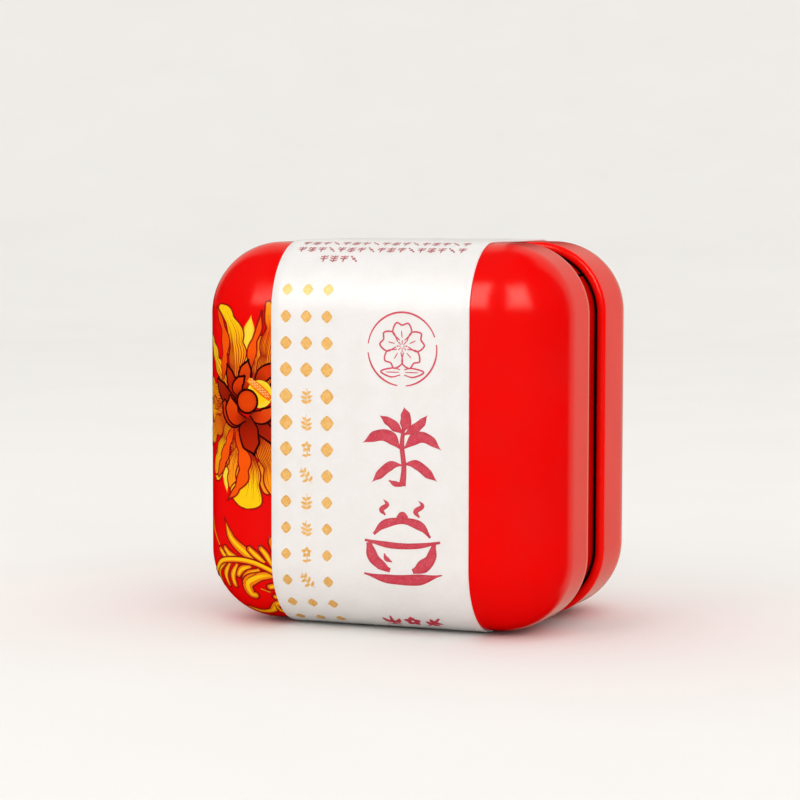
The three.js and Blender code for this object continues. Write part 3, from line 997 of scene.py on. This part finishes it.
def lozenge(x, s):
    """A rounded lozenge, widest a little above the middle of the face."""
    radius = (2.05 + 0.75 * math.exp(-((s - 5.4) / 16) ** 2)) / 2
    foil_print.disc((x, s), radius, GOLD, 0, squash=1.07, power=1.34, turns=32, rim="#e29e3e")


def foil_stroke(middle, knots):
    points = np.asarray(knots, float) + np.asarray(middle)
    foil_print.strip(points, (0.065, 0.13, 0.065), level=1, stops=[(0, GOLD), (1, GOLD)], spacing=0.22)


def foil_leaf(middle, root, tip, width=0.34):
    knots = np.array([root, (np.array(root) + tip) / 2 + (0.08, 0.05), tip]) + np.asarray(middle)
    foil_print.strip(knots, (0.05, width, width * 0.7, 0.0), level=2,
                     stops=[(0, GOLD), (1, GOLD)], spacing=0.2)


def sprig_mark(middle, kind):
    """One of four small sprigs, about 2.8 mm wide and 3.3 mm tall."""
    mirror = -1 if kind % 2 else 1

    def m(x, y):
        return mirror * x, y

    if kind % 4 in (0, 1):
        foil_stroke(middle, [m(0.1, -1.65), m(-0.1, -0.4), m(0.15, 0.9), m(0.0, 1.6)])
        for y, reach in ((0.75, 1.0), (-0.1, 1.3), (-0.9, 1.2)):
            foil_leaf(middle, m(0.05, y - 0.35), m(reach, y + 0.3))
            foil_leaf(middle, m(-0.05, y - 0.5), m(-reach, y + 0.15))
    elif kind % 4 == 2:
        for turn in np.radians([90, 162, 234, 306, 18]):
            tip = (1.15 * math.cos(turn), 0.45 + 1.15 * math.sin(turn))
            foil_leaf(middle, (0.2 * math.cos(turn), 0.45 + 0.2 * math.sin(turn)), tip, 0.42)
        foil_stroke(middle, [m(0.0, 0.0), m(0.15, -0.8), m(-0.1, -1.7)])
        foil_leaf(middle, m(0.1, -1.2), m(1.1, -1.0), 0.26)
        foil_leaf(middle, m(0.0, -1.4), m(-1.0, -1.1), 0.26)
    else:
        foil_stroke(middle, [m(-1.3, -1.4), m(-0.3, -0.7), m(0.5, 0.4), m(1.2, 1.6)])
        for at, way in (((-0.7, -1.0), (-1.2, 0.1)), ((0.0, -0.3), (-0.6, 1.0)), ((0.5, 0.5), (0.2, 1.7)),
                        ((-0.3, -0.7), (0.9, -1.3)), ((0.4, 0.2), (1.4, -0.3)), ((0.8, 0.9), (1.5, 0.6))):
            foil_leaf(middle, m(*at), m(*way))


for row in range(ROWS):
    height = FIRST_ROW - ROW_PITCH * row
    lozenge(COLUMN_LEFT, height)
    lozenge(COLUMN_RIGHT, height)
    if row < 4 or row > 11:      # the sprigs fill rows 4 to 11
        lozenge(COLUMN_MID, height)
    else:
        sprig_mark((COLUMN_MID, height), row)
print("foil drawn:", foil_print.count, "points")

# %% Crimson ink
CRIMSON, CRIMSON_EDGE, ROSE, FAINT = "#cc2540", "#b40e26", "#d03450", "#b4585e"
BRUSH_LOAD = 1.22        # how far a loaded brush spreads past the drawn width
ink_print = InkSheet(printed_on_band, clear=0.004 * MM)


def brush(knots, widths, right=None):
    """A brush stroke: darker where the ink ran out to its edge.

    Strokes that cross must not share a layer, so each one lies a layer above the one
    before, and every ninth starts at the bottom again.
    """
    level = len(ink_print.quads) % 9
    widths = BRUSH_LOAD * np.array(widths)
    right = None if right is None else BRUSH_LOAD * np.array(right)
    ink_print.strip(knots, widths, right, level, [(0, CRIMSON), (1, CRIMSON)], rim=CRIMSON_EDGE,
                    rim_from=0.6, spacing=0.25)


def fine_line(knots, width=0.16, ink=ROSE):
    """A pen line, thinner at both ends, on one of seven layers in turn."""
    level = 1 + len(ink_print.quads) % 7
    ink_print.strip(knots, (width * 0.7, width, width, width * 0.7), level=level,
                    stops=[(0, ink), (1, ink)], spacing=0.2)


def emblem(x, s, radius):
    """A ring with two gaps round a line-drawn camellia with two leaves."""
    for first, last in ((20, 172), (186, 262), (276, 368)):
        turn = np.radians(np.linspace(first, last, 24))
        fine_line(np.stack([x + radius * np.cos(turn), s + radius * np.sin(turn)], axis=1), 0.18)
    for turn in np.radians([90, 162, 234, 306, 18]):
        c, n = np.array([math.cos(turn), math.sin(turn)]), np.array([-math.sin(turn), math.cos(turn)])
        centre = np.array([x, s + 0.6])
        fine_line([centre + 1.1 * c - 0.5 * n, centre + 2.6 * c - 1.9 * n, centre + 4.3 * c - 1.3 * n,
                   centre + 4.0 * c, centre + 4.4 * c + 1.2 * n, centre + 2.6 * c + 1.9 * n,
                   centre + 1.1 * c + 0.5 * n])
        fine_line([centre + 1.6 * c, centre + 2.9 * c + 0.15 * n], 0.1)
    for turn in np.radians(np.arange(0, 360, 45)):
        tip = np.array([x + 0.95 * math.cos(turn), s + 0.6 + 0.95 * math.sin(turn)])
        fine_line([(x + 0.3 * math.cos(turn), s + 0.6 + 0.3 * math.sin(turn)), tip], 0.08)
        ink_print.disc(tip, 0.14, ROSE, 2, turns=10)
    for side in (-1, 1):
        fine_line([(x + 0.4 * side, s - 3.9), (x + 2.0 * side, s - 3.6), (x + 4.4 * side, s - 4.3),
                   (x + 2.3 * side, s - 5.3), (x + 0.4 * side, s - 4.9)])
        fine_line([(x + 0.6 * side, s - 4.4), (x + 3.3 * side, s - 4.4)], 0.1)


def tea_sprig(x, s):
    """Two leaves and a bud over a pair of broad leaves, within 17 x 15 mm."""
    def at(points):
        return [(x + a, s + b) for a, b in points]

    brush(at([(0.2, -7.6), (0.5, -4.0), (0.1, 0.0), (0.4, 3.4)]), (0.55, 0.42, 0.4, 0.3))
    brush(at([(0.4, 2.8), (0.9, 5.0), (0.5, 7.6)]), (0.2, 0.95, 0.8, 0.0))
    brush(at([(0.2, 2.4), (-2.0, 4.6), (-4.6, 5.8)]), (0.15, 1.0, 0.9, 0.0), (0.15, 0.6, 0.4, 0.0))
    brush(at([(0.6, 2.2), (3.0, 4.0), (5.4, 6.2)]), (0.15, 0.6, 0.4, 0.0), (0.15, 1.0, 0.9, 0.0))
    brush(at([(0.0, -0.6), (-3.4, 1.6), (-8.2, 0.4)]), (0.15, 0.7, 0.5, 0.0), (0.15, 1.3, 1.2, 0.0))
    brush(at([(0.4, -0.4), (4.2, 1.5), (8.3, -0.6)]), (0.15, 1.3, 1.0, 0.0), (0.15, 0.6, 0.5, 0.0))
    brush(at([(0.1, -3.6), (-2.6, -3.8), (-6.2, -7.2)]), (0.15, 0.9, 0.8, 0.0), (0.15, 0.6, 0.6, 0.0))
    brush(at([(0.5, -3.4), (3.4, -3.4), (7.4, -6.6)]), (0.15, 0.6, 0.6, 0.0), (0.15, 0.9, 0.9, 0.0))
    brush(at([(-2.6, -6.6), (-1.4, -7.2), (0.2, -7.4)]), (0.1, 0.45, 0.3))


def lidded_cup(x, s):
    """A cup with a lid, a saucer and two curls of steam, within 17 x 15 mm."""
    def at(points):
        return [(x + a, s + b) for a, b in points]

    brush(at([(-6.8, -0.6), (-5.8, -3.6), (-3.4, -5.4), (-2.4, -5.8)]), (0.45, 0.9, 0.8, 0.35))
    brush(at([(6.6, -0.4), (5.8, -3.4), (3.6, -5.2), (2.2, -5.8)]), (0.35, 0.8, 1.05, 0.4))
    brush(at([(-7.6, -0.2), (-2.0, -1.0), (3.0, -0.9), (7.8, 0.0)]), (0.2, 0.5, 0.45, 0.2))
    brush(at([(-5.8, 1.0), (-3.6, 3.0), (0.2, 3.8), (3.8, 2.9), (5.8, 0.8)]), (0.25, 0.7, 0.5, 0.75, 0.2))
    brush(at([(-0.9, 4.3), (0.1, 5.0), (1.1, 4.3)]), (0.3, 0.5, 0.3))
    brush(at([(-7.8, -6.6), (-3.0, -7.5), (3.0, -7.4), (8.2, -6.2)]), (0.15, 0.75, 0.9, 0.1))
    brush(at([(-3.6, -2.6), (-3.2, -3.6), (-2.0, -4.2)]), (0.1, 0.4, 0.1))
    brush(at([(-3.4, 4.8), (-4.2, 5.8), (-3.0, 6.8), (-3.8, 7.8)]), (0.15, 0.42, 0.36, 0.05))
    brush(at([(3.6, 4.6), (2.8, 5.7), (4.2, 6.8), (3.4, 7.8)]), (0.15, 0.42, 0.36, 0.05))


def small_mark(x, s, kind):
    """Leaf pair, blossom or shoot, about 3.8 mm across."""
    middle = np.array([x, s])
    if kind == 0:
        brush(middle + [(0.0, -1.8), (0.1, 1.8)], (0.2, 0.28, 0.16))
        brush(middle + [(0, -0.9), (-1.1, -0.1), (-1.8, 1.2)], (0.1, 0.5, 0.34, 0.0))
        brush(middle + [(0, -0.9), (1.2, -0.3), (1.8, 1.1)], (0.1, 0.5, 0.34, 0.0))
        brush(middle + [(-1.5, -1.8), (1.5, -1.8)], (0.12, 0.24, 0.12))
    elif kind == 1:
        for turn in np.radians([90, 162, 234, 306, 18]):
            out = np.array([math.cos(turn), math.sin(turn)])
            brush([middle + 0.3 * out, middle + 1.1 * out, middle + 1.9 * out], (0.15, 0.6, 0.45, 0.0))
    else:
        brush(middle + [(-1.7, -1.6), (-0.2, -0.3), (1.5, 1.8)], (0.16, 0.28, 0.2))
        for root, tip in (((-0.9, -0.9), (-1.6, 0.6)), ((-0.2, -0.2), (-0.5, 1.6)),
                          ((0.0, -0.2), (1.8, -0.6)), ((-0.7, -0.8), (0.9, -1.8))):
            root, tip = np.array(root), np.array(tip)
            brush(middle + [root, (root + tip) / 2 + (0.1, 0.0), tip], (0.1, 0.46, 0.3, 0.0))


def mark_row(first, last, s):
    """A row of tiny florets and leaf pairs, 2.07 mm apart and 1.8 mm high."""
    for k, x in enumerate(np.arange(first, last, 2.07)):
        if k % 4 == 3:
            ink_print.disc((x, s), 0.34, FAINT, 1, turns=10)
            fine_line([(x - 0.8, s + 0.8), (x - 0.35, s + 0.35)], 0.17, FAINT)
            fine_line([(x + 0.8, s - 0.8), (x + 0.35, s - 0.35)], 0.17, FAINT)
            continue
        lean = 0.3 * ((k * 5) % 3 - 1)
        fine_line([(x, s - 0.95), (x + lean * 0.4, s + 0.9)], 0.14, FAINT)
        for y in (0.55, 0.0, -0.55)[: 2 + k % 2]:
            fine_line([(x, s + y - 0.2), (x + 0.8, s + y + 0.2)], 0.13, FAINT)
            fine_line([(x, s + y - 0.2), (x - 0.8, s + y + 0.1 + lean * 0.4)], 0.13, FAINT)


emblem(7.5, 17.5, 7.0)
tea_sprig(7.4, -1.0)
lidded_cup(7.5, -19.1)
for k, (x, s) in enumerate(((3.1, -37.4), (7.4, -37.4), (11.8, -37.4))):
    small_mark(x, s, k)
mark_row(-16.2, 17.0, 41.2)
mark_row(-16.2, 17.0, 38.4)
mark_row(-10.6, -4.0, 35.5)
print("crimson drawn:", ink_print.count, "points")

# %% [markdown]
# ## Inks and foil
#
# The lid's inks lie under the same varnish as the red, so they share its gloss and its
# faint orange peel. Foil is a film of metal, pressed a little into the card, so it follows
# the grain of the paper. In this studio a true metal would mirror darkness and turn brown,
# so the foil is mostly a warm gold colour and only slightly metallic. Crimson ink is thin on
# the pearl and lets flecks of it through.

# %% Ink materials
def drawn_colour(tree):
    return add(tree, "VertexColor", layer_name="ink").outputs["Color"]


def varnished_inks():
    material, tree, shader = varnish("litho inks under varnish", 0.14)
    at = object_coords(tree)
    colour = drawn_colour(tree)
    dots = spread(tree, noise(tree, at, 0.22 * MM, 1.0), 0.4, 0.75, 0.0, 0.22)
    colour = mix_colour(tree, dots, colour, mix_colour(tree, 1.0, colour, linear("#f4a060"), "MULTIPLY"))
    tree.links.new(colour, shader.inputs["Base Color"])
    return material


def gold_foil():
    material, tree, shader = new_material("stamped gold foil", **{
        "Metallic": 0.15, "IOR": 1.5, "Coat Weight": 0.4, "Coat Roughness": 0.3})
    at = object_coords(tree)
    wear = spread(tree, noise(tree, at, 0.5 * MM, 3.0, 0.6), 0.35, 0.7, 0.0, 1.0)
    colour = mix_colour(tree, wear, drawn_colour(tree), linear("#fccb78"))
    wire(tree, shader, colour,
         spread(tree, wear, 0, 1, 0.34, 0.46),
         bump(tree, noise(tree, at, 0.3 * MM, 2.0), 0.004 * MM))
    return material


def crimson_ink():
    material, tree, shader = new_material("crimson ink on pearl card", **{
        "IOR": 1.45, "Coat Weight": 0.1, "Coat Roughness": 0.4})
    at = object_coords(tree)
    flecks = spread(tree, noise(tree, at, 0.16 * MM, 2.0, 0.6), 0.55, 0.7, 0.0, 0.3)
    clouds = spread(tree, noise(tree, at, 1.4 * MM, 3.0), 0.35, 0.7, 0.0, 0.25)
    colour = mix_colour(tree, clouds, drawn_colour(tree), linear("#e26a76"))
    colour = mix_colour(tree, flecks, colour, linear("#f0b4b4"))
    wire(tree, shader, colour,
         spread(tree, flecks, 0, 0.5, 0.42, 0.55),
         bump(tree, noise(tree, at, 0.3 * MM, 2.0), 0.006 * MM))
    return material


flower = lid_print.make("lid_litho_print", varnished_inks())
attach(flower, "lid")
foil = foil_print.make("band_foil_print", gold_foil())
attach(foil, "band")
crimson = ink_print.make("band_crimson_print", crimson_ink())
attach(crimson, "band")
print("print faces:", len(flower.data.polygons), len(foil.data.polygons), len(crimson.data.polygons))

# %% [markdown]
# ## Studio
#
# A round sweep of pale paper: flat where the tin stands, then curving up on every side, so
# that no edge shows from any direction.

# %% Sweep
def make_sweep():
    """A disc whose rim curls up in a quarter circle, carried round the vertical axis."""
    material, tree, shader = new_material("pale studio paper", Roughness=0.9, IOR=1.45)
    at = object_coords(tree)
    colour = mottle(tree, noise(tree, at, 60 * MM, 3.0), 0.3, 0.7, "#f1efec", "#efedea")
    tree.links.new(colour, shader.inputs["Base Color"])
    flat_radius, curl = 1.0, 1.2
    t = np.radians(np.linspace(0, 80, 30))
    radius = np.r_[np.linspace(0, flat_radius, 12)[:-1], flat_radius + curl * np.sin(t)]
    height = np.r_[np.zeros(11), curl * (1 - np.cos(t))]
    turn = np.linspace(0, 2 * math.pi, 96, endpoint=False)
    points = np.stack([radius[:, None] * np.cos(turn), radius[:, None] * np.sin(turn),
                       np.broadcast_to(height[:, None], (len(radius), len(turn)))], axis=-1)
    rows, columns = points.shape[:2]
    sweep = make_mesh("studio_sweep", points.reshape(-1, 3),
                      grid_faces(rows, columns, wrap_columns=True), [material])
    weld(sweep)
    return sweep


sweep = make_sweep()
sweep.visible_glossy = False

# %% [markdown]
# ## Lights
#
# A glossy red tin takes its look from what it mirrors. Where it should stay deep red it must
# mirror darkness, and where its sides should turn pale it must mirror white card. So the
# sweep, the air and the soft boxes light the tin but aren't mirrored in it. What is mirrored
# is chosen: two glowing cards in front draw the soft bright patches along the top pillow
# edge, and two dimmer, warmer cards at the right and behind turn the side walls pale.

# %% Lights
LIGHT_AIM_Z = 0.04       # lights and cards are placed round this height, the middle of the tin
CARD_TONE = (1.0, 0.95, 0.78)


def towards(azimuth, elevation):
    """Unit vector at an azimuth and an elevation, both in radians."""
    return np.stack([np.cos(azimuth) * np.cos(elevation), np.sin(azimuth) * np.cos(elevation),
                     np.sin(elevation)], axis=-1)


def soft_box(name, azimuth, elevation, distance, size, power):
    """An area light in a direction from the tin, aimed back at it. It isn't mirrored."""
    away = Vector(towards(math.radians(azimuth), math.radians(elevation)).tolist())
    light = bpy.data.lights.new(name, "AREA")
    light.shape = "RECTANGLE"
    light.size, light.size_y = size
    light.energy = power
    lamp = bpy.data.objects.new(name, light)
    lamp.rotation_euler = away.to_track_quat("Z", "Y").to_euler()
    lamp.location = away * distance + Vector((0.0, 0.0, LIGHT_AIM_Z))
    lamp.visible_camera = False
    lamp.visible_glossy = False
    bpy.context.scene.collection.objects.link(lamp)


def reflector(name, azimuths, elevations, glow, fade, tone=(1.0, 1.0, 1.0)):
    """A glowing patch of a 1.3 m sphere round the tin, seen only in reflections.

    Its glow rises smoothly from 0 at each edge to full over `fade` degrees.
    """
    azimuth, elevation = np.meshgrid(np.linspace(*azimuths, 60), np.linspace(*elevations, 60))
    points = 1.3 * towards(np.radians(azimuth), np.radians(elevation)) + (0.0, 0.0, LIGHT_AIM_Z)
    inward = np.minimum.reduce([azimuth - azimuths[0], azimuths[1] - azimuth,
                                elevation - elevations[0], elevations[1] - elevation])
    ramp = np.clip(inward / fade, 0, 1)
    ramp = glow * ramp * ramp * (3 - 2 * ramp)
    material, tree = blank_material(name)
    shade = add(tree, "VertexColor", layer_name="glow").outputs["Color"]
    lit = add(tree, "Emission", {"Color": shade})
    add(tree, "OutputMaterial", {"Surface": lit.outputs[0]})
    card = make_mesh(name, points.reshape(-1, 3), grid_faces(60, 60), [material])
    paint(card, "glow", ramp.reshape(-1, 1) * np.array(tone))
    card.visible_camera = False
    card.visible_diffuse = False
    card.visible_shadow = False


soft_box("front_left_box", -112, 35, 1.3, (0.5, 0.5), 1.3)
soft_box("front_right_box", -50, 33, 1.3, (0.8, 0.55), 1.5)
soft_box("low_front_box", -100, 4, 1.3, (0.9, 0.25), 0.7)
soft_box("overhead_box", 90, 80, 1.4, (1.2, 1.2), 0.2)
reflector("mirrored_box_left", (-124, -97), (8, 56), 10.2, 13)
reflector("mirrored_box_right", (-77, -25), (9, 57), 9.8, 19)
reflector("mirrored_card_right", (40, 108), (-36, 60), 0.6, 12, tone=CARD_TONE)
reflector("mirrored_card_behind", (96, 152), (0, 60), 0.6, 12, tone=CARD_TONE)

world = bpy.data.worlds.new("studio air")
bpy.context.scene.world = world
world.use_nodes = True
background = world.node_tree.nodes["Background"]
background.inputs["Color"].default_value = linear("#fdfdfc")
background.inputs["Strength"].default_value = 1.03
world.cycles_visibility.glossy = False

# %% [markdown]
# ## Camera
#
# The camera stands a little to the right of the lid's face and just above it, about half a
# metre away, with a long lens, so the square face narrows only slightly.

# %% Camera
def place_camera():
    """Looks along a yaw and a small downward pitch, from a set distance.

    Right is (cos yaw, sin yaw, 0). Forward is the level forward direction tipped down by
    the pitch. The offsets slide the camera across its own picture plane.
    """
    yaw, pitch, roll = np.radians([21.17, 4.38, 0.11])
    distance, slide_right, slide_up = 517.65 * MM, 2.95 * MM, -5.73 * MM
    right = np.array([math.cos(yaw), math.sin(yaw), 0.0])
    level = np.array([-math.sin(yaw), math.cos(yaw), 0.0])
    forward = math.cos(pitch) * level - np.array([0, 0, math.sin(pitch)])
    up = math.sin(pitch) * level + np.array([0, 0, math.cos(pitch)])
    target = np.array([0.0, FRONT_Y + 26 * MM, AXIS_Z])
    eye = target - slide_right * right - slide_up * up - distance * forward
    turned_right = math.cos(roll) * right + math.sin(roll) * up
    turned_up = math.cos(roll) * up - math.sin(roll) * right
    matrix = np.eye(4)
    matrix[:3] = np.stack([turned_right, turned_up, -forward, eye], axis=1)
    camera_data = bpy.data.cameras.new("studio_camera")
    camera_data.sensor_width = 36.0
    camera_data.lens = 3.22025 * camera_data.sensor_width
    camera_data.clip_start, camera_data.clip_end = 0.01, 20.0
    camera = bpy.data.objects.new("studio_camera", camera_data)
    camera.matrix_world = Matrix(matrix.tolist())
    bpy.context.scene.collection.objects.link(camera)
    bpy.context.scene.camera = camera
    return eye


eye = place_camera()
bpy.context.scene.view_settings.view_transform = "Standard"
print("camera at", [round(v, 4) for v in eye.tolist()])
